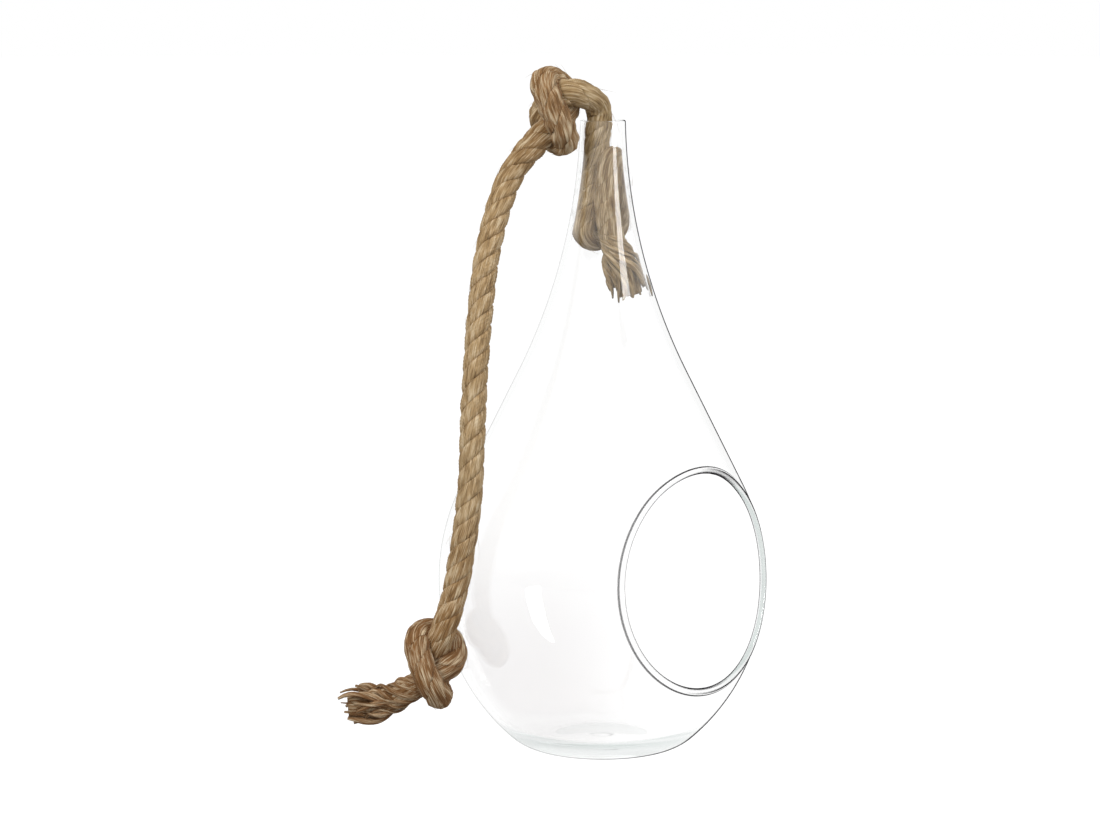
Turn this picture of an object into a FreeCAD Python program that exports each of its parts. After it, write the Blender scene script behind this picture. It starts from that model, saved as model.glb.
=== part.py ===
import FreeCAD, Part
import math
import os

from FreeCAD import Vector

# A hand-blown drop of clear glass with a round opening in its side and a narrow mouth at the top,
# and the knotted jute rope that hangs in the mouth. Millimetres, +Z up. The origin is the middle of
# the foot, on the surface that the vessel stands on, and the side opening looks towards -Y.

# The glass body. Its outline climbs from the foot's edge in stretches that each run on smoothly
# from the last: the heel's arc, the belly's arc, the straight shoulder and the long arc of the
# throat, which curves the other way up to the lip. An angle is in degrees from level, and an arc is
# drawn in equal steps.
heel_arc_radius = 26.3
heel_end_angle = 41.9
heel_steps = 3
belly_arc_radius = 100.2
belly_end_angle = 116.5
belly_steps = 8
shoulder_length = 61.7
throat_arc_radius = 276.7
throat_end_angle = 91.1
throat_steps = 5
wall = 2.2

# The foot, where the soft drop sank onto a flat plate, and the thick floor inside
foot_outer_radius = 27.0
foot_inner_radius = 22.0
kick_up = 2.5
pontil_radius = 5.0
pontil_depth = 0.6
floor_thickness = 6.0
floor_radius = 31.0
floor_rise = 1.0
floor_corner_steps = 2

# The mouth, melted smooth
lip_bevel = 0.6

# The side opening
opening_radius = 52.0
opening_height = 81.0
opening_tilt = 6.0
# How wide the melted rim is, and how far it stands proud of both faces of the wall
rim_width = 2.6
rim_height = 0.5

# The rope: its laid diameter, and the smaller one that it is squeezed to where it is knotted or
# folded inside the neck
rope_diameter = 12.0
knot_rope_diameter = 9.8
stopper_rope_diameter = 7.2
rope_sides = 8

# The cut and teased ends of the rope
outer_broom_length = 20.0
outer_broom_diameter = 21.0
inner_broom_length = 16.0
inner_broom_diameter = 14.0

# A bend takes this share of the shorter run beside it, and is drawn in equal steps
bend_share = 0.45
bend_steps = 3
# Gaps and volumes are measured with this step along a centreline
check_step = 0.5
# Two places along the rope are neighbours, not crossings, within this many diameters of each other
crossing_share = 1.6
# What a cutting solid reaches past the surface that it cuts
overrun = 50.0


# Outline of the glass, seen from the side

def along(slope):
    """The direction of a path that climbs at this slope, in the XZ plane."""
    return Vector(math.cos(math.radians(slope)), 0, math.sin(math.radians(slope)))


def arc_on(place, slope, radius, end_slope, steps):
    """The points along an arc that runs on from a place at a slope."""
    reach = math.copysign(radius, end_slope - slope)
    centre = place + along(slope + 90) * reach
    points = []
    for step in range(1, steps + 1):
        points.append(centre - along(slope + (end_slope - slope) * step / steps + 90) * reach)
    return points


def upper_outline(place, slope, depth):
    """From low on the belly to the lip, along the outer face or a depth inside it."""
    points = arc_on(place, slope, belly_arc_radius - depth, belly_end_angle, belly_steps)
    points.append(points[-1] + along(belly_end_angle) * shoulder_length)
    throat_radius = throat_arc_radius + depth
    return points + arc_on(points[-1], belly_end_angle, throat_radius, throat_end_angle, throat_steps)


def heel_outline():
    """From the foot's edge to where the belly starts."""
    foot_edge = Vector(foot_outer_radius, 0, 0)
    return [foot_edge] + arc_on(foot_edge, 0, heel_arc_radius, heel_end_angle, heel_steps)


def floor_outline(depth):
    """The floor and the corner that runs into the inner wall, and the slope where it meets it."""
    middle = Vector(0, 0, floor_thickness)
    edge = Vector(floor_radius, 0, floor_thickness + floor_rise)
    floor_slope = math.degrees(math.atan2(floor_rise, floor_radius))
    belly_centre = heel_outline()[-1] + along(heel_end_angle + 90) * belly_arc_radius
    offset = edge - belly_centre
    upright = along(floor_slope + 90)
    reach = belly_arc_radius - depth
    radius = (reach ** 2 - offset.Length ** 2) / (2 * (upright.dot(offset) + reach))
    outwards = (edge + upright * radius - belly_centre).normalize()
    end_slope = math.degrees(math.atan2(outwards.x, -outwards.z))
    corner = arc_on(edge, floor_slope, radius, end_slope, floor_corner_steps)
    return [middle, edge] + corner, end_slope


def turned(points):
    """A solid of revolution about Z from the corners of its outline."""
    return Part.Face(Part.makePolygon(points + points[:1])).revolve(Vector(0, 0, 0), Vector(0, 0, 1), 360)


def closed_drop():
    """The whole drop of glass before its side is opened."""
    underside = [
        Vector(0, 0, kick_up + pontil_depth),
        Vector(pontil_radius, 0, kick_up),
        Vector(foot_inner_radius, 0, 0),
    ]
    heel = heel_outline()
    outside = upper_outline(heel[-1], heel_end_angle, 0)
    floor, floor_slope = floor_outline(wall)
    inside = upper_outline(floor[-1], floor_slope, wall)
    across = (inside[-1] - outside[-1]).normalize() * lip_bevel
    rise = along(throat_end_angle) * lip_bevel
    lip = [outside[-1] + across + rise, inside[-1] - across + rise]
    return turned(underside + heel + outside + lip + inside[::-1] + floor[::-1])


def thick_shell():
    """A shell that stands proud of both faces of the belly's wall, for the melted rim."""
    heel = heel_outline()
    skins = []
    for depth in (-rim_height, wall + rim_height):
        start = heel[-1] + along(heel_end_angle + 90) * depth
        skins.append([start] + upper_outline(start, heel_end_angle, depth)[:belly_steps + 1])
    return turned(skins[0] + skins[1][::-1])


def bore(radius):
    """A round hole's solid through the front wall, from the vessel's axis outwards."""
    tilt = math.radians(opening_tilt)
    direction = Vector(0, -math.cos(tilt), math.sin(tilt))
    start = Vector(0, 0, opening_height)
    return Part.makeCylinder(radius, belly_arc_radius + overrun, start, direction)


def glass_vessel():
    """The drop with its side opened, and the thick melted rim round the opening."""
    rim = thick_shell().common(bore(opening_radius + rim_width))
    return closed_drop().fuse(rim).cut(bore(opening_radius))


# The rope's route

# An overhand knot is the same after half a turn about its own X axis, so half of it is enough: from
# the rope that comes in along its Z axis to the middle of the band round it. Rope diameters, in
# shares of the knot's size.
half_knot_shares = (
    (0.25, -0.10, 1.15),
    (-0.40, -0.55, -0.05),
    (-0.95, -0.40, -0.70),
    (-0.95, 0.70, -1.40),
    (0.30, 1.35, -1.10),
    (1.05, 0.65, -0.45),
)
knot_size = 10.7


def overhand_knot(centre, up, face):
    """The route's points through a knot: up is where the rope comes from, face is its X axis."""
    z_axis = Vector(*up).normalize()
    y_axis = z_axis.cross(Vector(*face)).normalize()
    x_axis = y_axis.cross(z_axis)
    shares = list(half_knot_shares)
    shares += [(x, -y, -z) for x, y, z in reversed(half_knot_shares)]
    points = []
    for x, y, z in shares:
        points.append(Vector(*centre) + (x_axis * x + y_axis * y + z_axis * z) * knot_size)
    return points


# From the cut end inside the neck, through the three folds of the stopper, to the mouth
inner_tail_route = (
    (8.5, -11.2, 218.5),
    (4.7, -9.9, 228.5),
    (0.5, -8.2, 240.0),
)
stopper_route = (
    (-1.0, -7.7, 252.5),
    (-1.2, -6.8, 264.5),
    (-1.5, -5.6, 276.0),
    (5.8, 0.9, 276.0),
    (6.9, 1.1, 265.5),
    (8.0, 2.7, 255.0),
    (8.0, 3.7, 243.5),
    (-8.2, 5.5, 243.5),
    (-6.4, 5.0, 259.0),
    (-4.5, 3.8, 273.0),
    (-2.5, 2.3, 285.0),
)
# Up through the mouth, over its rim and into the knot outside
neck_route = (
    (-1.4, 0.9, 296.5),
    (-1.9, 0.6, 305.5),
    (-10.0, -0.5, 311.0),
)
top_knot_centre = (-22.0, 11.3, 301.0)
top_knot_up = (0.45, -0.51, 0.73)
top_knot_face = (-0.75, -0.66, 0.0)
# Down the outside, clear of the belly, into the end knot
fall_route = (
    (-38.7, 21.2, 278.0),
    (-47.5, 22.1, 262.0),
    (-56.4, 21.6, 240.0),
    (-64.7, 19.0, 210.0),
    (-70.4, 16.3, 183.0),
    (-75.3, 13.6, 155.0),
    (-78.1, 12.2, 128.0),
    (-82.5, 13.1, 104.0),
    (-84.2, 15.9, 84.0),
)
end_knot_centre = (-91.6, 23.8, 50.0)
end_knot_up = (0.31, -0.35, 0.88)
end_knot_face = (-1.0, 0.06, 0.0)
# The cut end outside
outer_tail_route = (
    (-103.0, 37.7, 34.5),
    (-109.6, 44.7, 31.5),
    (-117.2, 53.3, 30.5),
)


def vectors(route):
    return [Vector(*point) for point in route]


def bend(before, corner, after):
    """The arc that rounds a corner: its start, middle, end and radius."""
    back = before - corner
    ahead = after - corner
    reach = bend_share * min(back.Length, ahead.Length)
    half_turn = (math.pi - back.getAngle(ahead)) / 2
    radius = reach / math.tan(half_turn)
    start = corner + back.normalize() * reach
    end = corner + ahead.normalize() * reach
    towards_centre = ((start + end) / 2 - corner).normalize()
    middle = corner + towards_centre * (radius / math.cos(half_turn) - radius)
    return start, middle, end, radius


def centreline(route, first, last):
    """The rope's centreline from the middle of one run of the route to the middle of another."""
    points = [route[0] if first == 0 else (route[first - 1] + route[first]) / 2]
    radii = []
    for index in range(max(first, 1), min(last + 1, len(route) - 1)):
        start, middle, end, radius = bend(route[index - 1], route[index], route[index + 1])
        points += Part.Arc(start, middle, end).discretize(bend_steps + 1)
        radii.append(radius)
    points.append(route[-1] if last >= len(route) - 1 else (route[last] + route[last + 1]) / 2)
    return points, radii


def ring(centre, axis, diameter):
    """The corners of the rope's many-sided section, square to an axis."""
    sideways = axis.cross(Vector(0, 0, 1)).normalize()
    upwards = axis.cross(sideways).normalize()
    corners = []
    for side in range(rope_sides):
        turn = 2 * math.pi * side / rope_sides
        corners.append(centre + (sideways * math.cos(turn) + upwards * math.sin(turn)) * (diameter / 2))
    return corners


def skinned(rings):
    """The solid whose flat sides join each ring of corners to the next."""
    faces = [Part.Face(Part.makePolygon(corners + corners[:1])) for corners in (rings[0], rings[-1])]
    for near, far in zip(rings, rings[1:]):
        for side in range(rope_sides):
            quad = [near[side - 1], near[side], far[side], far[side - 1]]
            faces.append(Part.Face(Part.makePolygon(quad + quad[:1])))
    shell = Part.makeShell(faces)
    shell.sewShape()
    return Part.makeSolid(shell)


def tube(points, diameter):
    """A rope of flat-sided prisms along a centreline, mitred where two of them meet."""
    headings = [(after - before).normalize() for before, after in zip(points, points[1:])]
    rings = [ring(points[0], headings[0], diameter)]
    for point, heading, following in zip(points[1:], headings, headings[1:] + headings[-1:]):
        mitre = heading + following
        corners = []
        for corner in rings[-1]:
            corners.append(corner + heading * ((point - corner).dot(mitre) / heading.dot(mitre)))
        rings.append(corners)
    return skinned(rings)


def section_area(diameter):
    """The area of the rope's many-sided section."""
    return rope_sides * diameter * diameter * math.sin(2 * math.pi / rope_sides) / 8


def cut_end(tip, inward, length, diameter):
    """A teased rope end: a flare that is widest at its cut face."""
    axis = inward.normalize()
    return skinned([ring(tip, axis, diameter), ring(tip + axis * length, axis, rope_diameter)])


def measured(points):
    """Points at short steps along a centreline, and how far along it each is."""
    places = []
    travelled = []
    length = 0.0
    for before, after in zip(points, points[1:]):
        reach = before.distanceToPoint(after)
        steps = max(1, round(reach / check_step))
        for step in range(steps):
            places.append(before + (after - before) * step / steps)
            travelled.append(length + reach * step / steps)
        length += reach
    return places, travelled, length


def least_gap(points, diameter):
    """How near a wound or knotted tube comes to itself, surface to surface, measured on points."""
    places, travelled, gap = measured(points)
    for i in range(len(places)):
        for j in range(i + 1, len(places)):
            if travelled[j] - travelled[i] > crossing_share * diameter:
                gap = min(gap, places[i].distanceToPoint(places[j]) - diameter)
    return gap


def rope_pieces():
    """Every stretch and knot of the one rope, each ending where the next begins."""
    parts = (
        ("stopper_tail", vectors(inner_tail_route), rope_diameter),
        ("stopper_knot", vectors(stopper_route), stopper_rope_diameter),
        ("neck_rope", vectors(neck_route), rope_diameter),
        ("top_knot", overhand_knot(top_knot_centre, top_knot_up, top_knot_face), knot_rope_diameter),
        ("rope_fall", vectors(fall_route), rope_diameter),
        ("end_knot", overhand_knot(end_knot_centre, end_knot_up, end_knot_face), knot_rope_diameter),
        ("rope_tail", vectors(outer_tail_route), rope_diameter),
    )
    route = [point for name, points, diameter in parts for point in points]
    pieces = {}
    total = 0.0
    first = 0
    for name, points, diameter in parts:
        last = first + len(points) - 1
        line, radii = centreline(route, first, last)
        solid = tube(line, diameter)
        length = measured(line)[2]
        print(name, "length", round(length, 1), "smallest bend", round(min(radii), 1),
              "volume over section times length", round(solid.Volume / (section_area(diameter) * length), 4))
        print("  bends", [round(radius, 1) for radius in radii])
        if name.endswith("_knot"):
            print("  least gap to itself", round(least_gap(line, diameter), 2))
        pieces[name] = solid
        total += length
        first = last + 1
    print("rope length", round(total, 1))
    pieces["stopper_tail"] = pieces["stopper_tail"].fuse(
        cut_end(route[0], route[1] - route[0], inner_broom_length, inner_broom_diameter))
    pieces["rope_tail"] = pieces["rope_tail"].fuse(
        cut_end(route[-1], route[-2] - route[-1], outer_broom_length, outer_broom_diameter))
    return pieces


os.makedirs("parts", exist_ok=True)
model = {"glass_vessel": glass_vessel()}
model.update(rope_pieces())
for name, shape in model.items():
    print(name, "valid", shape.isValid(), "solids", len(shape.Solids), "volume", round(shape.Volume, 1))
    shape.exportStep("parts/" + name + ".step")
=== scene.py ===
import math
import random
from bisect import bisect_right

import bmesh
import bpy
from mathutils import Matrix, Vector, noise


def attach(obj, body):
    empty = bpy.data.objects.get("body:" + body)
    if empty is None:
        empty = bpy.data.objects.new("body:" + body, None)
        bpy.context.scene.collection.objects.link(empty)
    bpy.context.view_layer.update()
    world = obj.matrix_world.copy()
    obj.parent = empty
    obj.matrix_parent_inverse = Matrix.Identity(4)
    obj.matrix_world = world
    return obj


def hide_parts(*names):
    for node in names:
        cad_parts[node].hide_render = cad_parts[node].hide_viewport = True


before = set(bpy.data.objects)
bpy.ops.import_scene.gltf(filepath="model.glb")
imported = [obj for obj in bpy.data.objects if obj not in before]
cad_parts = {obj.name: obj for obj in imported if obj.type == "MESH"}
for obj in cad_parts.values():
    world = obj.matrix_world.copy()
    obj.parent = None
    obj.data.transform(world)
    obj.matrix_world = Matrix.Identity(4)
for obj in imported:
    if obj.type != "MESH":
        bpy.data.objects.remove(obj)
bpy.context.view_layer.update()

# A hand-blown drop of clear glass with a round opening in its side, and the knotted three-strand
# jute rope that hangs in its mouth. Metres, +Z up, the side opening looks towards -Y.

mm = 0.001


# Camera, fitted to the photograph, and its two level directions

camera_lens = 119.3
camera_place = (-1.2834, -1.1315, 0.392)
camera_tilt = 82.32
camera_turn = -47.77
towards_camera = Vector((-0.750, -0.661, 0))
to_the_right = Vector((0.661, -0.750, 0))

camera = bpy.data.objects.new("camera", bpy.data.cameras.new("camera"))
camera.data.lens = camera_lens
camera.location = camera_place
camera.rotation_euler = (math.radians(camera_tilt), 0, math.radians(camera_turn))
bpy.context.collection.objects.link(camera)
bpy.context.scene.camera = camera
bpy.context.scene.view_settings.view_transform = "Standard"


# The vessel's outline: arcs and a straight shoulder, each running on from the one before

wall = 2.2 * mm
foot_outer_radius = 27.0 * mm
foot_inner_radius = 22.0 * mm
kick_up = 2.5 * mm
heel_arc_radius = 26.3 * mm
heel_end_slope = 41.9
belly_arc_radius = 100.2 * mm
shoulder_slope = 116.5
shoulder_length = 61.7 * mm
throat_arc_radius = 276.7 * mm
lip_slope = 91.1
heel_steps = 14
belly_steps = 60
shoulder_steps = 20
throat_steps = 46
turns_round = 180


def along(slope):
    return Vector((math.cos(math.radians(slope)), 0, math.sin(math.radians(slope))))


def arc_on(place, slope, radius, end_slope, steps):
    """The points along an arc that runs on from a place at a slope."""
    reach = math.copysign(radius, end_slope - slope)
    centre = place + along(slope + 90) * reach
    return [centre - along(slope + (end_slope - slope) * step / steps + 90) * reach
            for step in range(1, steps + 1)]


def outline():
    """The outer face from the foot's edge to the lip."""
    points = [Vector((foot_outer_radius, 0, 0))]
    points += arc_on(points[-1], 0, heel_arc_radius, heel_end_slope, heel_steps)
    points += arc_on(points[-1], heel_end_slope, belly_arc_radius, shoulder_slope, belly_steps)
    belly_end = points[-1]
    shoulder = along(shoulder_slope) * shoulder_length
    points += [belly_end + shoulder * step / shoulder_steps
               for step in range(1, shoulder_steps + 1)]
    points += arc_on(points[-1], shoulder_slope, throat_arc_radius, lip_slope, throat_steps)
    return points


side_outline = outline()
outline_heights = [point.z for point in side_outline]


def radius_at(height):
    """The outer radius at a height."""
    index = min(max(bisect_right(outline_heights, height), 1), len(side_outline) - 1)
    low, high = side_outline[index - 1:index + 1]
    return low.x + (high.x - low.x) * (height - low.z) / (high.z - low.z)


# The rope's route, from the cut end in the neck to the cut end outside

def overhand_knot(centre, up, face, size):
    """The route through an overhand knot, which is the same after half a turn about its face."""
    half = (
        (0.25, -0.10, 1.15),
        (-0.40, -0.55, -0.05),
        (-0.95, -0.40, -0.70),
        (-0.95, 0.70, -1.40),
        (0.30, 1.35, -1.10),
        (1.05, 0.65, -0.45),
    )
    z_axis = Vector(up).normalized()
    y_axis = z_axis.cross(Vector(face)).normalized()
    x_axis = y_axis.cross(z_axis)
    shares = list(half) + [(x, -y, -z) for x, y, z in reversed(half)]
    return [Vector(centre) + (x_axis * x + y_axis * y + z_axis * z) * size for x, y, z in shares]


rope_diameter = 12.0 * mm
inner_tail_route = (
    (0.0078, -0.0104, 0.2180),
    (0.0047, -0.0099, 0.2285),
    (-0.0004, -0.0076, 0.2400),
)
stopper_route = (
    (-0.0032, -0.0058, 0.2525),
    (-0.0030, -0.0052, 0.2645),
    (-0.0022, -0.0048, 0.2810),
    (0.0060, -0.0036, 0.2815),
    (0.0072, -0.0056, 0.2655),
    (0.0080, -0.0046, 0.2550),
    (0.0082, 0.0012, 0.2435),
    (-0.0082, 0.0055, 0.2435),
    (-0.0057, 0.0043, 0.2590),
    (-0.0045, 0.0038, 0.2730),
    (-0.0025, 0.0023, 0.2850),
)
neck_route = (
    (-0.0014, 0.0009, 0.2965),
    (-0.0019, 0.0006, 0.3055),
    (-0.0100, -0.0005, 0.3110),
)
top_knot_route = overhand_knot(
    centre=(-0.0216, 0.0108, 0.3040), up=(0.33, -0.37, 0.86), face=(-0.75, -0.66, 0.0),
    size=9.0 * mm)
fall_route = (
    (-0.0387, 0.0212, 0.2780),
    (-0.0475, 0.0221, 0.2620),
    (-0.0564, 0.0216, 0.2400),
    (-0.0647, 0.0190, 0.2100),
    (-0.0704, 0.0163, 0.1830),
    (-0.0753, 0.0136, 0.1550),
    (-0.0781, 0.0122, 0.1280),
    (-0.0825, 0.0131, 0.1040),
    (-0.0842, 0.0159, 0.0840),
)
end_knot_route = overhand_knot(
    centre=(-0.0914, 0.0236, 0.0510), up=(0.31, -0.35, 0.88), face=(-1.0, 0.06, 0.0),
    size=9.4 * mm)
outer_tail_route = (
    (-0.1030, 0.0377, 0.0345),
    (-0.1096, 0.0447, 0.0315),
    (-0.1172, 0.0533, 0.0305),
)
# Each stretch with the rope's diameter there, how deep the grooves between its strands are, and
# how rough it is, both as shares of its radius. The grooves are pulled shut where the rope is
# knotted or pressed, and the oldest knot, beside the mouth, is the most worn
stretches = (
    (inner_tail_route, 11.5 * mm, 0.08, 0.05),
    (stopper_route, 11.8 * mm, 0.08, 0.06),
    (neck_route, rope_diameter, 0.10, 0.12),
    (top_knot_route, 12.8 * mm, 0.09, 0.17),
    (fall_route[:6], rope_diameter, 0.22, 0.05),
    (fall_route[6:], rope_diameter, 0.15, 0.05),
    (end_knot_route, 12.2 * mm, 0.07, 0.08),
    (outer_tail_route, rope_diameter, 0.08, 0.08),
)
route = [Vector(point) for points, *section in stretches for point in points]
route_sections = [Vector(section) for points, *section in stretches for point in points]
spline_steps = 18


def spline_points():
    """Points along the route's smooth spline."""
    curve = bpy.data.curves.new("route", "CURVE")
    curve.dimensions = "3D"
    curve.resolution_u = spline_steps
    spline = curve.splines.new("NURBS")
    spline.points.add(len(route) - 1)
    for point, place in zip(spline.points, route):
        point.co = (*place, 1)
    spline.order_u = 3
    spline.use_endpoint_u = True
    line = bpy.data.objects.new("route", curve)
    mesh = bpy.data.meshes.new_from_object(line)
    points = [vertex.co.copy() for vertex in mesh.vertices]
    bpy.data.objects.remove(line)
    bpy.data.meshes.remove(mesh)
    return points


class Station:
    """One place along the rope: where, which way, how far along, and its section there."""

    def __init__(self, place, heading, sideways, travelled, section):
        self.place = place
        self.heading = heading
        self.sideways = sideways
        self.upwards = heading.cross(sideways)
        self.travelled = travelled
        self.diameter, self.groove, self.rough = section

    def outwards(self, turn):
        return self.sideways * math.cos(turn) + self.upwards * math.sin(turn)


def rope_stations(points):
    """Stations at the points, carried along without a twist of their own."""
    stations = []
    heading = (points[1] - points[0]).normalized()
    sideways = heading.orthogonal().normalized()
    travelled = 0.0
    for index, place in enumerate(points):
        before = points[max(index - 1, 0)]
        after = points[min(index + 1, len(points) - 1)]
        following = (after - before).normalized()
        sideways = heading.rotation_difference(following) @ sideways
        sideways = (sideways - following * sideways.dot(following)).normalized()
        heading = following
        travelled += (place - before).length
        # Where it lies among the route's corners, near enough for its section
        share = index * (len(route) - 2) / (len(points) - 1) + 0.5
        corner = int(share)
        near, far = route_sections[corner:corner + 2]
        section = near.lerp(far, share - corner)
        stations.append(Station(place, heading, sideways, travelled, section))
    return stations


path = spline_points()
stations = rope_stations(path)


# Meshes

def swept(bm, rings):
    """A tube through rings of corners, each a place and its UV in metres. A ring ends as it starts."""
    layer = bm.loops.layers.uv.get("lay") or bm.loops.layers.uv.new("lay")
    columns = len(rings[0])
    grid = bmesh.ops.create_grid(bm, x_segments=columns - 1, y_segments=len(rings) - 1, size=1)
    made = grid["verts"]
    unrolled = {}
    for index, vertex in enumerate(made):
        row, column = divmod(index, columns)
        vertex.co, unrolled[vertex] = rings[row][column]
    for face in {face for vertex in made for face in vertex.link_faces}:
        for loop in face.loops:
            loop[layer].uv = unrolled[loop.vert]


def closed_tubes(bm):
    """Join each tube's seam and close its ends."""
    bmesh.ops.remove_doubles(bm, verts=bm.verts, dist=0.0001 * mm)
    bmesh.ops.holes_fill(bm, edges=[edge for edge in bm.edges if edge.is_boundary], sides=0)


def finished(name, bm, material, smooth=True):
    """A mesh object at the origin, with its place in its mesh."""
    bmesh.ops.recalc_face_normals(bm, faces=bm.faces)
    mesh = bpy.data.meshes.new(name)
    bm.to_mesh(mesh)
    bm.free()
    for face in mesh.polygons:
        face.use_smooth = smooth
    piece = bpy.data.objects.new(name, mesh)
    bpy.context.collection.objects.link(piece)
    mesh.materials.append(material)
    return piece


# Materials

def srgb(code):
    """A colour written as sRGB hex, in linear light."""
    parts = [int(code[place:place + 2], 16) / 255 for place in (1, 3, 5)]
    linear = [part / 12.92 if part <= 0.04045 else ((part + 0.055) / 1.055) ** 2.4
              for part in parts]
    return linear + [1]


def add_node(tree, kind, inputs=None, **settings):
    """Add a node, set its settings, and fill or link its input sockets."""
    made = tree.nodes.new("ShaderNode" + kind)
    for name, value in settings.items():
        setattr(made, name, value)
    for socket, value in (inputs or {}).items():
        if isinstance(value, bpy.types.NodeSocket):
            tree.links.new(value, made.inputs[socket])
        else:
            made.inputs[socket].default_value = value
    return made


def empty_material(name):
    material = bpy.data.materials.new(name)
    material.use_nodes = True
    material.node_tree.nodes.clear()
    return material


# The rope's colours by how far along it they are, as shares of their run: paler along the fall,
# browner in the knots and at the frayed end, greyer inside the neck
colour_run = 0.75
rope_colours = (
    (0.00, "#a78c62"),
    (0.12, "#957a54"),
    (0.22, "#b0956a"),
    (0.27, "#ae9065"),
    (0.34, "#96714a"),
    (0.43, "#9d7a50"),
    (0.48, "#b8986c"),
    (0.66, "#b89a70"),
    (0.75, "#9e784c"),
    (0.80, "#8a623a"),
    (1.00, "#8a643f"),
)
dark_fibre = "#4a2f16"
pale_fibre = "#e4d0ae"
# A fibre is 0.1 mm wide. Streaks are drawn wider and 8 mm long, to show in the render
streak_width = 0.45 * mm
streak_length = 8 * mm
patch_width = 2.2 * mm
patch_length = 12 * mm
fibre_slant = math.radians(7)
fibre_height = 0.8 * mm


def jute_material():
    """Jute: coarse bast fibre, spun and laid dry. It is matt, and streaked from straw to dark
    brown, because no two fibres are of one colour."""
    material = empty_material("laid_jute")
    tree = material.node_tree
    lay = add_node(tree, "UVMap", uv_map="lay").outputs["UV"]
    run = add_node(tree, "SeparateXYZ", {0: lay}).outputs["Y"]
    share = add_node(tree, "Math", {0: run, 1: 1 / colour_run}, operation="MULTIPLY").outputs[0]
    ramp = add_node(tree, "ValToRGB", {0: share})
    while len(ramp.color_ramp.elements) < len(rope_colours):
        ramp.color_ramp.elements.new(0.5)
    for element, (position, code) in zip(ramp.color_ramp.elements, rope_colours):
        element.position = position
        element.color = srgb(code)
    slant = add_node(tree, "Mapping", {"Vector": lay, "Rotation": (0, 0, fibre_slant)}).outputs[0]
    streak_scale = (1 / streak_width, 1 / streak_length, 1)
    streak_place = add_node(tree, "Mapping", {"Vector": slant, "Scale": streak_scale}).outputs[0]
    streak = add_node(tree, "TexNoise", {
        "Vector": streak_place, "Scale": 1.0, "Detail": 3.0, "Roughness": 0.65}).outputs["Fac"]
    patch_scale = (1 / patch_width, 1 / patch_length, 1)
    patch_place = add_node(tree, "Mapping", {"Vector": slant, "Scale": patch_scale}).outputs[0]
    patch = add_node(tree, "TexNoise", {
        "Vector": patch_place, "Scale": 1.0, "Detail": 2.0}).outputs["Fac"]
    both = add_node(tree, "Math", {
        0: patch, 1: 0.6, 2: streak}, operation="MULTIPLY_ADD").outputs[0]
    # Below the middle of what both give the fibres turn dark, and above it pale
    dark = add_node(tree, "MapRange", {0: both, 1: 0.79, 2: 0.55, 3: 0.0, 4: 0.85}).outputs[0]
    pale = add_node(tree, "MapRange", {0: both, 1: 0.79, 2: 1.0, 3: 0.0, 4: 0.95}).outputs[0]
    browner = add_node(tree, "Mix", {
        0: dark, 6: ramp.outputs[0], 7: srgb(dark_fibre)}, data_type="RGBA").outputs[2]
    colour = add_node(tree, "Mix", {
        0: pale, 6: browner, 7: srgb(pale_fibre)}, data_type="RGBA").outputs[2]
    bump = add_node(tree, "Bump", {
        "Height": streak, "Strength": 1.0, "Distance": fibre_height}).outputs[0]
    surface = add_node(tree, "BsdfPrincipled", {
        "Base Color": colour, "Roughness": 0.85, "Specular IOR Level": 0.25,
        "Normal": bump}).outputs[0]
    add_node(tree, "OutputMaterial", {"Surface": surface})
    return material


jute = jute_material()


# The rope's three strands

lay_length = 28.0 * mm
strand_half_turn = math.radians(63)
strand_outer_sides = 18
strand_inner_sides = 6
strand_core = 0.2
strand_flank = 0.5
yarn_ridges = 15
yarn_ridge_share = 0.022
yarn_wander = 5
yarn_wander_length = 12 * mm
swell_share = 0.05
swell_length = 8 * mm
rough_round = 2.8
rough_length = 4 * mm
# How far the strands lie from one another in each noise and in the UVs
swell_apart = 7.3
wander_apart = 5
rough_apart = 31
lay_apart = 0.37
lay_radius = 6 * mm
lay_seam_radius = 3 * mm
# The neck presses the rope in between these heights, and the glass stays this clear of it
pressed_from = 0.2
pressed_to = 0.3
pressed_clearance = 0.3 * mm


def inside_neck(place, centre):
    """A place on the rope, drawn in to where the neck's inner face presses on it."""
    outside = math.hypot(centre.x, centre.y) > radius_at(centre.z) - wall
    if outside or not pressed_from < place.z < pressed_to:
        return place
    room = radius_at(place.z) - wall - pressed_clearance
    radius = math.hypot(place.x, place.y)
    if radius <= room:
        return place
    return Vector((place.x * room / radius, place.y * room / radius, place.z))


def strand_section(number, station):
    """A strand's section: a rounded third of the rope, its yarns soft ridges along the rope."""
    travelled = station.travelled
    turn = math.tau * (travelled / lay_length + number / 3)
    shares = [(2 * side / strand_outer_sides - 1, None) for side in range(strand_outer_sides + 1)]
    shares += [(1 - 2 * side / strand_inner_sides, strand_core)
               for side in range(1, strand_inner_sides)]
    swell = swell_share * noise.noise(Vector((travelled / swell_length, number * swell_apart, 0)))
    wander = noise.noise(Vector((number * wander_apart, 0, travelled / yarn_wander_length)))
    ring = []
    for share, core in shares:
        turned = turn + share * strand_half_turn
        if core is None:
            where = Vector((math.cos(turned) * rough_round, math.sin(turned) * rough_round,
                            travelled / rough_length + number * rough_apart))
            ridge = yarn_ridge_share * math.cos(yarn_ridges * turned + yarn_wander * wander)
            rough = station.rough * noise.noise(where)
            reach = 1 - station.groove * abs(share) ** 4 + swell + ridge + rough
        else:
            reach = core + strand_flank * share * share
        place = station.place + station.outwards(turned) * (station.diameter / 2 * reach)
        unrolled = (turned * lay_radius + number * lay_apart, travelled)
        ring.append((inside_neck(place, station.place), unrolled))
    place, (around, travelled) = ring[0]
    ring.append((place, (around + math.tau * lay_seam_radius, travelled)))
    return ring


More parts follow.
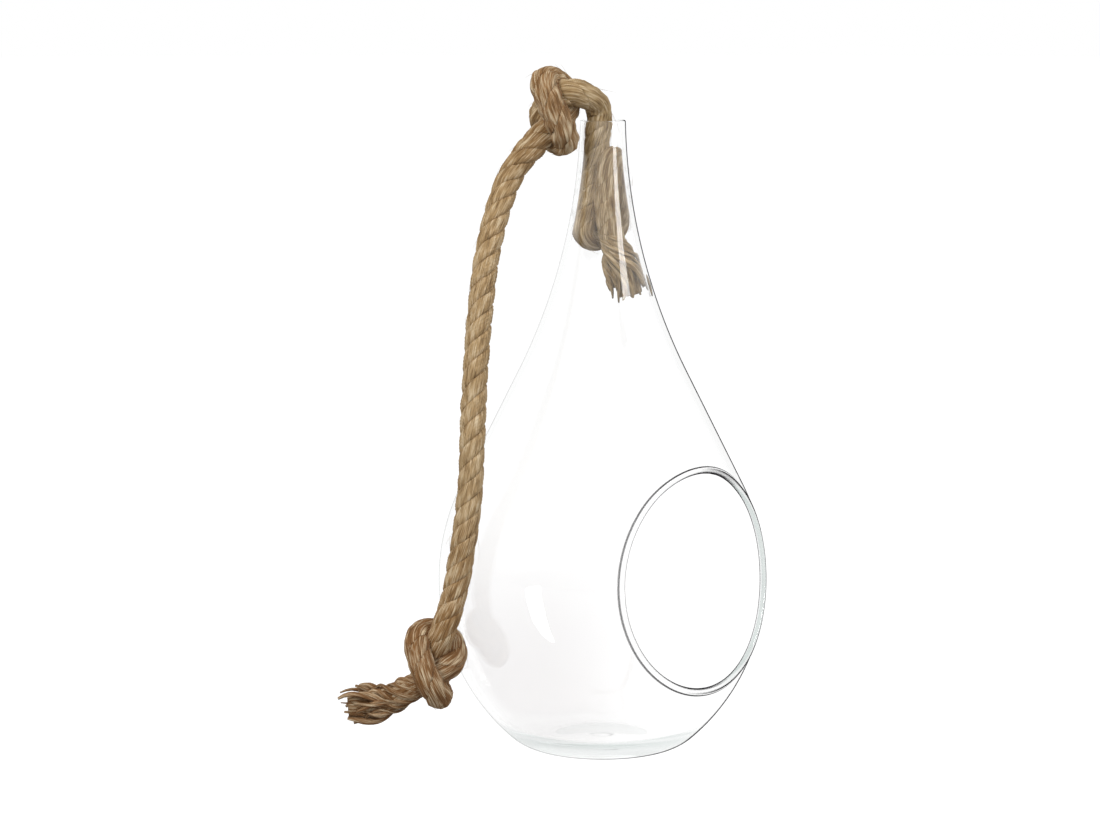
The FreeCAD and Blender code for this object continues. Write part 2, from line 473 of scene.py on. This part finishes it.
def laid_rope():
    bm = bmesh.new()
    for number in range(3):
        swept(bm, [strand_section(number, station) for station in stations])
    closed_tubes(bm)
    return finished("laid_rope", bm, jute)


rope = laid_rope()
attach(rope, "rope")
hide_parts("stopper_tail", "stopper_knot", "neck_rope", "top_knot", "rope_fall", "end_knot",
            "rope_tail")


# Frayed ends and stray fibres

golden_turn = 2.39996
ring_uv_radius = 1.2 * mm
fray_steps = 24
fray_sides = 9
fray_uneven = 0.35
fray_start_share = 0.42
clump_apart = 0.011
fibre_count = 900
fibre_steps = 4
fibre_sides = 3
fibre_radius = 0.07 * mm
fibre_root_share = 0.46
fibre_apart = 0.0007


def round_ring(centre, heading, radius, sides, uneven, uv):
    """The corners of a clump's or fibre's section, with their UVs."""
    sideways = heading.cross(Vector((0.31, 0.22, 0.92))).normalized()
    upwards = heading.cross(sideways)
    ring = []
    for side in range(sides + 1):
        around = math.tau * (side % sides) / sides
        across = sideways * math.cos(around) + upwards * math.sin(around)
        bumps = noise.noise(across * 1.6 + Vector((uv[0] * 900, 0, uv[1] * 60)))
        place = centre + across * (radius * (1 + uneven * bumps))
        unrolled = (uv[0] + math.tau * ring_uv_radius * side / sides, uv[1])
        ring.append((inside_neck(place, centre), unrolled))
    return ring


def frayed_end(name, at_start, clumps, length, spread, girth, wave, seed):
    """The teased end of the rope: wavy clumps of yarn that fan out from its strands."""
    chance = random.Random(seed)
    towards = list(reversed(stations)) if at_start else stations
    end = towards[-1].travelled
    near = [station for station in towards if abs(station.travelled - end) <= length]
    ahead = near[-1].place - near[-2].place
    bm = bmesh.new()
    for clump in range(clumps):
        reach = math.sqrt((clump + 0.5) / clumps)
        turn = clump * golden_turn + chance.uniform(-0.2, 0.2)
        thickness = girth * chance.uniform(0.7, 1.3)
        cut = chance.uniform(0.84, 1.07)
        phases = [chance.uniform(0, math.tau) for each in range(5)]
        waves = chance.uniform(5.5, 9.5)
        centres = []
        for step in range(fray_steps + 1):
            share = step / fray_steps * cut
            place = share * (len(near) - 1)
            index = min(int(place), len(near) - 1)
            station = near[index]
            following = near[index + 1].place if index < len(near) - 1 else station.place + ahead
            base = station.place + (following - station.place) * (place - index)
            opened = share * share * (3 - 2 * share) if share < 1 else 1.0
            twist = turn + math.tau * (share * length / lay_length) * (1 - 0.6 * share)
            closed_radius = station.diameter * fray_start_share * reach * (1 - opened)
            offset = station.outwards(twist) * (closed_radius + spread * reach * opened)
            offset += station.sideways * wave * opened * math.sin(share * waves + phases[0])
            offset += station.upwards * wave * opened * math.sin(share * (waves + 1.5) + phases[1])
            centres.append(base + offset)
        rings = []
        for index, centre in enumerate(centres):
            before = centres[max(index - 1, 0)]
            after = centres[min(index + 1, fray_steps)]
            share = index / fray_steps
            radius = thickness * (0.85 + 0.3 * math.sin(share * 7 + phases[2]) + 0.15 * share)
            radius *= min(1, 0.45 + 5 * (1 - share))
            travelled = end + (share - 1) * length * (-1 if at_start else 1)
            uv = (clump * clump_apart, travelled)
            rings.append(round_ring(centre, (after - before).normalized(), radius, fray_sides,
                                    fray_uneven, uv))
        swept(bm, rings)
    closed_tubes(bm)
    return finished(name, bm, jute)


outer_fray = frayed_end("outer_fray", at_start=False, clumps=42, length=38 * mm, spread=8.5 * mm,
                        girth=1.1 * mm, wave=2.3 * mm, seed=5)
inner_fray = frayed_end("inner_fray", at_start=True, clumps=46, length=32 * mm, spread=9.2 * mm,
                        girth=1.0 * mm, wave=1.0 * mm, seed=8)


def stray_fibres():
    """Single fibres that stand off the rope, each drawn a little thicker than its 0.1 mm."""
    chance = random.Random(12)
    bm = bmesh.new()
    for fibre in range(fibre_count):
        station = stations[chance.randrange(8, len(stations) - 8)]
        outwards = station.outwards(chance.uniform(0, math.tau))
        length = chance.uniform(2, 6) * mm if fibre % 9 else chance.uniform(6, 12) * mm
        lift = chance.uniform(0.05, 0.5)
        sway = chance.uniform(-0.5, 0.5)
        forwards = station.heading * chance.choice((-1, 1))
        start = station.place + outwards * station.diameter * fibre_root_share
        aside = forwards.cross(outwards)
        rings = []
        for step in range(fibre_steps + 1):
            share = step / fibre_steps
            rise = lift * (share - 0.5 * share * share)
            centre = start + forwards * length * share + outwards * length * rise
            centre += aside * length * sway * share * share
            radius = fibre_radius * (1 - 0.6 * share)
            uv = (fibre * fibre_apart, station.travelled)
            rings.append(round_ring(centre, forwards, radius, fibre_sides, 0, uv))
        swept(bm, rings)
    closed_tubes(bm)
    return finished("stray_fibres", bm, jute)


fibres = stray_fibres()
for piece in (outer_fray, inner_fray, fibres):
    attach(piece, "rope")


# The glass vessel

opening_radius = 50.6 * mm
rim_width = 2.6 * mm
rim_proud = 0.5 * mm
rim_proud_to = 3.3 * mm
rim_proud_run = 1.4 * mm
rim_rounding = 1.3 * mm
lip_rounding = 0.8 * mm
rounding_segments = 5
# Around the opening the turned faces are cleared out to 8 mm, and rings of edges close in on it
cleared = 8 * mm
opening_rings = (6.3, 4.9, 4.0, 3.5, 3.2, 2.9, 2.6, 2.3, 2.0, 1.7, 0.0)
opening_below = 0.2
pontil_radius = 5.2 * mm
pontil_edge = -0.25 * mm
pontil_profile = (
    (0, 0.5 * mm),
    (2.5 * mm, 0.45 * mm),
    (4.6 * mm, 0.1 * mm),
    (pontil_radius, pontil_edge),
)
foot_touches_at = 24.5 * mm
dome_steps = 10
floor_edge_radius = 31.0 * mm
floor_middle_height = 6.0 * mm
floor_edge_height = 7.0 * mm
heel_top = 15 * mm
floor_below = 30 * mm
bore_start = Vector((0, 0, 81.0 * mm))
bore_tilt = math.radians(6)
bore_axis = Vector((0, -math.cos(bore_tilt), math.sin(bore_tilt)))
bore_up = Vector((0, math.sin(bore_tilt), math.cos(bore_tilt)))


def from_bore(place):
    """How far a place is from the opening's axis, and at what turn about it."""
    across = place - bore_start
    return math.hypot(across.x, across.dot(bore_up)), math.atan2(across.dot(bore_up), across.x)


def on_front(distance, turn):
    """The place on the outer face at a distance from the opening's axis, found by halving."""
    across = bore_start + Vector((math.cos(turn), 0, 0)) * distance
    across += bore_up * math.sin(turn) * distance
    near, far = 0.0, 0.12
    for halving in range(30):
        middle = (near + far) / 2
        place = across + bore_axis * middle
        if math.hypot(place.x, place.y) < radius_at(place.z):
            near = middle
        else:
            far = middle
    return across + bore_axis * near


def floor_height(radius):
    """The top of the thick floor, and None past the corner where the wall begins."""
    edge = Vector((floor_edge_radius, 0, floor_edge_height))
    slope = math.degrees(math.atan2(floor_edge_height - floor_middle_height, floor_edge_radius))
    heel_end = side_outline[heel_steps]
    belly_centre = heel_end + along(heel_end_slope + 90) * belly_arc_radius
    offset = edge - belly_centre
    upright = along(slope + 90)
    reach = belly_arc_radius - wall
    corner_radius = (reach ** 2 - offset.length ** 2) / (2 * (upright.dot(offset) + reach))
    corner = edge + upright * corner_radius
    meeting = corner + (corner - belly_centre).normalized() * corner_radius
    if radius <= edge.x:
        return floor_middle_height + (floor_edge_height - floor_middle_height) * radius / edge.x
    if radius >= meeting.x:
        return None
    return corner.z - math.sqrt(corner_radius ** 2 - (radius - corner.x) ** 2)


def surface_normal(place):
    """The outer face's direction at a place on it, above the heel."""
    slope = (radius_at(place.z + mm) - radius_at(place.z - mm)) / (2 * mm)
    return Vector((place.x, place.y, -slope * math.hypot(place.x, place.y))).normalized()


def underside():
    """The pushed-up dome with the pontil's scar in its middle, from the axis to the foot."""
    points = [Vector((radius, 0, kick_up + rise)) for radius, rise in pontil_profile]
    for step in range(1, dome_steps + 1):
        radius = pontil_radius + (foot_inner_radius - pontil_radius) * step / dome_steps
        points.append(Vector((radius, 0, (kick_up + pontil_edge) * (1 - (step / dome_steps) ** 2))))
    return points + [Vector((foot_touches_at, 0, 0))]


def cut_opening(bm):
    """Clear the side opening, and close in on its round edge with rings of edges."""
    gone = [vertex for vertex in bm.verts
            if vertex.co.y < 0 and from_bore(vertex.co)[0] < opening_radius + cleared]
    bmesh.ops.delete(bm, geom=gone, context="VERTS")
    jagged = [vertex for vertex in bm.verts if vertex.is_boundary and vertex.co.z < opening_below]
    for vertex in jagged:
        vertex.co = on_front(opening_radius + cleared, from_bore(vertex.co)[1])
    bmesh.ops.remove_doubles(bm, verts=jagged, dist=0.7 * mm)
    rim = [edge for edge in bm.edges if edge.is_boundary and edge.verts[0].co.z < opening_below]
    for distance in opening_rings:
        grown = bmesh.ops.extrude_edge_only(bm, edges=rim)["geom"]
        rim = [part for part in grown if isinstance(part, bmesh.types.BMEdge)]
        for vertex in {vertex for edge in rim for vertex in edge.verts}:
            vertex.co = on_front(opening_radius + distance * mm, from_bore(vertex.co)[1])
    bmesh.ops.recalc_face_normals(bm, faces=bm.faces)
    bm.normal_update()


def glass_vessel(material):
    bm = bmesh.new()
    verts = [bm.verts.new(point) for point in underside() + side_outline]
    edges = [bm.edges.new(pair) for pair in zip(verts, verts[1:])]
    bmesh.ops.spin(bm, geom=verts + edges, cent=(0, 0, 0), axis=(0, 0, 1), dvec=(0, 0, 0),
                   angle=math.tau, steps=turns_round, use_merge=True, use_duplicate=False)
    bmesh.ops.remove_doubles(bm, verts=bm.verts, dist=0.01 * mm)
    cut_opening(bm)
    outer = bm.verts[:]
    normals = {}
    for vertex in outer:
        turned = vertex.co.z > heel_top
        normals[vertex] = surface_normal(vertex.co) if turned else vertex.normal.copy()
    # The inner face, and the thick floor
    copied = bmesh.ops.duplicate(bm, geom=bm.verts[:] + bm.edges[:] + bm.faces[:])
    twin = copied["vert_map"]
    inner_faces = [part for part in copied["geom"] if isinstance(part, bmesh.types.BMFace)]
    bmesh.ops.reverse_faces(bm, faces=inner_faces)
    for vertex in outer:
        inside = vertex.co - normals[vertex] * wall
        radius = math.hypot(inside.x, inside.y)
        floor = floor_height(radius) if inside.z < floor_below else None
        if floor is not None:
            inside.z = floor
        twin[vertex].co = inside
    # The melted rim stands proud of both faces
    for vertex in outer:
        distance = from_bore(vertex.co)[0] - opening_radius
        if vertex.co.y < 0 and distance < rim_proud_to and vertex.co.z < opening_below:
            share = min((rim_proud_to - distance) / rim_proud_run, 1)
            proud = normals[vertex] * rim_proud * share * share * (3 - 2 * share)
            vertex.co += proud
            twin[vertex].co -= proud
    edges = [edge for edge in bm.edges if edge.is_boundary]
    opening = [edge for edge in edges if edge.verts[0].co.z < opening_below]
    mouth = [edge for edge in edges if edge.verts[0].co.z > opening_below]
    for loops, rounding in ((opening, rim_rounding), (mouth, lip_rounding)):
        bmesh.ops.bridge_loops(bm, edges=loops)
        bmesh.ops.bevel(bm, geom=loops, offset=rounding, offset_type="OFFSET", profile=0.5,
                        segments=rounding_segments, affect="EDGES", material=-1, clamp_overlap=True)
    return finished("glass_drop", bm, material)


# Waves from the blowing are about 35 mm long and a few hundredths of a millimetre deep
wave_length = 35 * mm
wave_bump = 0.12 * mm
# The painted grey lines along the outline, the rim and the foot's scar, and the painted grey tint of
# the lower left
rim_bend = 2.8 * mm
painted_scar_line_radius = 4.9 * mm
scar_below = 4 * mm
painted_line_grey = "#302c30"
painted_dim_grey = "#f4f3f3"
body_colour = "#dfe6e4"
body_density = 10.0
most_turns = 4.5


def glass_material():
    """Soda-lime glass, free blown and fire polished: clear, mirror smooth and very slightly wavy.
    Where the eye looks along the wall or through the rim's edges, the light comes from the dark
    sides of a room, and a thin painted grey line stands for it, darker on the right. A painted
    line round the scar under the foot stands for its glint, and a painted grey tint on the lower
    left stands for the dimmer part of the room that the glass would mirror."""
    material = empty_material("blown_soda_lime_glass")
    tree = material.node_tree
    coordinates = add_node(tree, "TexCoord").outputs
    place = coordinates["Object"]
    waves = add_node(tree, "TexNoise", {
        "Vector": place, "Scale": 1 / wave_length, "Detail": 1.0}).outputs["Fac"]
    bump = add_node(tree, "Bump", {
        "Height": waves, "Strength": 1.0, "Distance": wave_bump}).outputs[0]
    # A place's distance from the vessel's axis, and from the opening's
    level = add_node(tree, "VectorMath", {0: place, 1: (1, 1, 0)}, operation="MULTIPLY").outputs[0]
    radius = add_node(tree, "VectorMath", {0: level}, operation="LENGTH").outputs["Value"]
    across = add_node(tree, "VectorMath", {
        0: place, 1: bore_start}, operation="SUBTRACT").outputs[0]
    crossed = add_node(tree, "VectorMath", {
        0: across, 1: bore_axis}, operation="CROSS_PRODUCT").outputs[0]
    bore = add_node(tree, "VectorMath", {0: crossed}, operation="LENGTH").outputs["Value"]
    front = add_node(tree, "VectorMath", {
        0: place, 1: (0, -1, 0)}, operation="DOT_PRODUCT").outputs["Value"]
    in_front = add_node(tree, "Math", {0: front, 1: 0.0}, operation="GREATER_THAN").outputs[0]
    rim = add_node(tree, "MapRange", {
        0: bore, 1: opening_radius + 1.9 * mm, 2: opening_radius + 2.1 * mm,
        3: 1.0, 4: 0.0}).outputs[0]
    rim = add_node(tree, "Math", {0: rim, 1: in_front}, operation="MULTIPLY").outputs[0]
    # Twice how far a place lies inside the outline: its curve's radius times its slant squared
    bend = add_node(tree, "Mix", {0: rim, 2: radius, 3: rim_bend}, data_type="FLOAT").outputs[0]
    facing = add_node(tree, "LayerWeight", {"Blend": 0.5}).outputs["Facing"]
    slant = add_node(tree, "Math", {0: 1.0, 1: facing}, operation="SUBTRACT").outputs[0]
    squared = add_node(tree, "Math", {0: slant, 1: slant}, operation="MULTIPLY").outputs[0]
    inset = add_node(tree, "Math", {0: squared, 1: bend}, operation="MULTIPLY").outputs[0]
    # A painted grey line where the eye looks along the wall or the rim, standing for the dark sides of
    # a room
    edge = add_node(tree, "MapRange", {
        0: inset, 1: 0.5 * mm, 2: 1.2 * mm, 3: 1.0, 4: 0.0}).outputs[0]
    # The painted line belongs to the outer face and the rim
    outwards = add_node(tree, "VectorMath", {
        0: coordinates["Normal"], 1: level}, operation="DOT_PRODUCT").outputs["Value"]
    outer = add_node(tree, "Math", {0: outwards, 1: 0.0}, operation="GREATER_THAN").outputs[0]
    either = add_node(tree, "Math", {0: outer, 1: rim}, operation="MAXIMUM").outputs[0]
    edge = add_node(tree, "Math", {0: edge, 1: either}, operation="MULTIPLY").outputs[0]
    # A painted grey line along the rim's outer edge, standing for the dark room the rim bends into
    # view
    beside = add_node(tree, "Math", {
        0: bore, 1: opening_radius + rim_width}, operation="SUBTRACT").outputs[0]
    beside = add_node(tree, "Math", {0: beside}, operation="ABSOLUTE").outputs[0]
    ring = add_node(tree, "MapRange", {
        0: beside, 1: 0.15 * mm, 2: 0.4 * mm, 3: 1.0, 4: 0.0}).outputs[0]
    ring = add_node(tree, "Math", {0: ring, 1: in_front}, operation="MULTIPLY").outputs[0]
    ring = add_node(tree, "Math", {0: ring, 1: outer}, operation="MULTIPLY").outputs[0]
    # A painted grey line round the edge of the scar under the foot, standing for its glint
    painted_scar_line = add_node(tree, "Math", {0: radius, 1: painted_scar_line_radius}, operation="SUBTRACT").outputs[0]
    painted_scar_line = add_node(tree, "Math", {0: painted_scar_line}, operation="ABSOLUTE").outputs[0]
    painted_scar_line = add_node(tree, "MapRange", {
        0: painted_scar_line, 1: 0.2 * mm, 2: 0.6 * mm, 3: 0.6, 4: 0.0}).outputs[0]
    height = add_node(tree, "SeparateXYZ", {0: place}).outputs["Z"]
    under = add_node(tree, "Math", {0: height, 1: scar_below}, operation="LESS_THAN").outputs[0]
    painted_scar_line = add_node(tree, "Math", {0: painted_scar_line, 1: under}, operation="MULTIPLY").outputs[0]
    # A face seen from inside the glass shows the painted scar line alone
    line = add_node(tree, "Math", {0: edge, 1: ring}, operation="MAXIMUM").outputs[0]
    back = add_node(tree, "NewGeometry").outputs["Backfacing"]
    line = add_node(tree, "MapRange", {0: back, 1: 0.0, 2: 1.0, 3: line, 4: painted_scar_line}).outputs[0]
    # The painted lines are painted darker on the right, as shade from the room's darker side
    direction = add_node(tree, "VectorMath", {0: level}, operation="NORMALIZE").outputs[0]
    side = add_node(tree, "VectorMath", {
        0: direction, 1: to_the_right}, operation="DOT_PRODUCT").outputs["Value"]
    darker_on_right = add_node(tree, "MapRange", {0: side, 1: -1.0, 2: 0.6, 3: 0.2, 4: 1.0}).outputs[0]
    line = add_node(tree, "Math", {0: line, 1: darker_on_right}, operation="MULTIPLY").outputs[0]
    # A painted grey tint on the lower left, standing for the dimmer part of a room mirrored there,
    # though not close to the outline
    low = add_node(tree, "MapRange", {
        0: height, 1: 125 * mm, 2: 40 * mm}, interpolation_type="SMOOTHSTEP").outputs[0]
    left = add_node(tree, "MapRange", {
        0: side, 1: 0.7, 2: -0.5}, interpolation_type="SMOOTHSTEP").outputs[0]
    within = add_node(tree, "MapRange", {
        0: slant, 1: 0.3, 2: 0.5}, interpolation_type="SMOOTHSTEP").outputs[0]
    painted_dimming = add_node(tree, "Math", {0: low, 1: left}, operation="MULTIPLY").outputs[0]
    painted_dimming = add_node(tree, "Math", {0: painted_dimming, 1: within}, operation="MULTIPLY").outputs[0]
    painted_tint = add_node(tree, "Mix", {
        0: painted_dimming, 6: srgb("#ffffff"), 7: srgb(painted_dim_grey)}, data_type="RGBA").outputs[2]
    clear = add_node(tree, "BsdfPrincipled", {
        "Base Color": painted_tint, "Roughness": 0.0, "IOR": 1.5, "Transmission Weight": 1.0,
        "Normal": bump}).outputs[0]
    # The painted lines: a dark grey see-through shader mixed over the clear glass
    painted_line_shader = add_node(tree, "BsdfTransparent", {"Color": srgb(painted_line_grey)}).outputs[0]
    with_painted_lines = add_node(tree, "MixShader", {0: line, 1: clear, 2: painted_line_shader}).outputs[0]
    # A ray that the wall has turned back many times leaves it, as all light does in the end
    turned = add_node(tree, "LightPath").outputs["Ray Depth"]
    trapped = add_node(tree, "Math", {
        0: turned, 1: most_turns}, operation="GREATER_THAN").outputs[0]
    through = add_node(tree, "BsdfTransparent").outputs[0]
    surface = add_node(tree, "MixShader", {0: trapped, 1: with_painted_lines, 2: through}).outputs[0]
    inside = add_node(tree, "VolumeAbsorption", {
        "Color": srgb(body_colour), "Density": body_density}).outputs[0]
    add_node(tree, "OutputMaterial", {"Surface": surface, "Volume": inside})
    return material


glass = glass_vessel(glass_material())
glass.visible_shadow = False
glass.visible_diffuse = False
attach(glass, "vessel")
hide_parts("glass_vessel")


# Studio: a white table in a white room, which the glass mirrors a little dimmer on one side, and
# three soft lamps

room_light = 0.72
table_glow = 0.8
table_grey = (0.32, 0.32, 0.32, 1)
table_radius = 9
table_below = 0.0005


def studio():
    """The room: white where it is seen, and dimmer where it only lights."""
    world = bpy.data.worlds.new("studio")
    bpy.context.scene.world = world
    world.use_nodes = True
    tree = world.node_tree
    tree.nodes.clear()
    ray = add_node(tree, "LightPath").outputs
    seen = add_node(tree, "Math", {
        0: ray["Is Camera Ray"], 1: ray["Is Transmission Ray"]}, operation="MAXIMUM").outputs[0]
    direction = add_node(tree, "TexCoord").outputs["Generated"]
    across = add_node(tree, "VectorMath", {
        0: direction, 1: to_the_right}, operation="DOT_PRODUCT").outputs["Value"]
    bright = add_node(tree, "MapRange", {0: across, 1: 0.25, 2: 0.0, 3: 0.9, 4: 1.0}).outputs[0]
    mirrored = add_node(tree, "Math", {
        0: ray["Is Glossy Ray"], 1: bright}, operation="MULTIPLY").outputs[0]
    lighting = add_node(tree, "Math", {
        0: ray["Is Glossy Ray"], 1: -room_light, 2: room_light},
        operation="MULTIPLY_ADD").outputs[0]
    strength = add_node(tree, "Math", {0: lighting, 1: mirrored}, operation="ADD").outputs[0]
    shown = add_node(tree, "Math", {0: seen, 1: strength}, operation="MAXIMUM").outputs[0]
    room = add_node(tree, "Background", {"Color": (1, 1, 1, 1), "Strength": shown}).outputs[0]
    add_node(tree, "OutputWorld", {"Surface": room})


studio()


def table():
    """A white laminate table, lit to pure white with the object's faint shadow left on it."""
    bm = bmesh.new()
    bmesh.ops.create_circle(bm, cap_ends=True, segments=96, radius=table_radius)
    material = empty_material("white_table")
    tree = material.node_tree
    ray = add_node(tree, "LightPath").outputs
    place = add_node(tree, "TexCoord").outputs["Object"]
    across = add_node(tree, "VectorMath", {
        0: place, 1: to_the_right}, operation="DOT_PRODUCT").outputs["Value"]
    bright = add_node(tree, "MapRange", {0: across, 1: -0.1, 2: 0.3, 3: 0.8, 4: 1.0}).outputs[0]
    mirrored = add_node(tree, "Math", {
        0: ray["Is Glossy Ray"], 1: bright}, operation="MULTIPLY").outputs[0]
    seen = add_node(tree, "Math", {
        0: ray["Is Camera Ray"], 1: ray["Is Transmission Ray"]}, operation="MAXIMUM").outputs[0]
    shown = add_node(tree, "Math", {0: seen, 1: mirrored}, operation="MAXIMUM").outputs[0]
    glow = add_node(tree, "Math", {0: shown, 1: table_glow}, operation="MULTIPLY").outputs[0]
    top = add_node(tree, "BsdfDiffuse", {"Color": table_grey}).outputs[0]
    lit = add_node(tree, "Emission", {"Color": (1, 1, 1, 1), "Strength": glow}).outputs[0]
    surface = add_node(tree, "AddShader", {0: top, 1: lit}).outputs[0]
    add_node(tree, "OutputMaterial", {"Surface": surface})
    floor = finished("table", bm, material, smooth=False)
    floor.location.z = -table_below


table()


def soft_lamp(name, place, target, width, height, power):
    lamp = bpy.data.objects.new(name, bpy.data.lights.new(name, "AREA"))
    lamp.data.shape = "RECTANGLE"
    lamp.data.size = width
    lamp.data.size_y = height
    lamp.data.energy = power
    lamp.location = place
    lamp.rotation_euler = (Vector(target) - Vector(place)).to_track_quat("-Z", "Y").to_euler()
    lamp.visible_transmission = False
    bpy.context.collection.objects.link(lamp)
    return lamp


middle = Vector((0, 0, 0.16))
key_place = towards_camera * 1.3 - to_the_right * 1.1 + Vector((0, 0, 1.5))
fill_place = towards_camera * 1.0 + to_the_right * 1.4 + Vector((0, 0, 0.9))
strip_turn = math.radians(58)
strip_direction = towards_camera * math.cos(strip_turn) + to_the_right * math.sin(strip_turn)
strip_place = strip_direction * 1.5 + Vector((0, 0, 0.72))
strip_target = middle + Vector((0, 0, 0.3))

key = soft_lamp("key", key_place, middle, width=0.9, height=0.9, power=22)
fill = soft_lamp("fill", fill_place, middle, width=0.8, height=0.8, power=8)
key.visible_glossy = False
fill.visible_glossy = False
# The strip is only there to be mirrored in the glass
strip = soft_lamp("strip", strip_place, strip_target, width=0.5, height=0.95, power=17)
strip.visible_diffuse = False
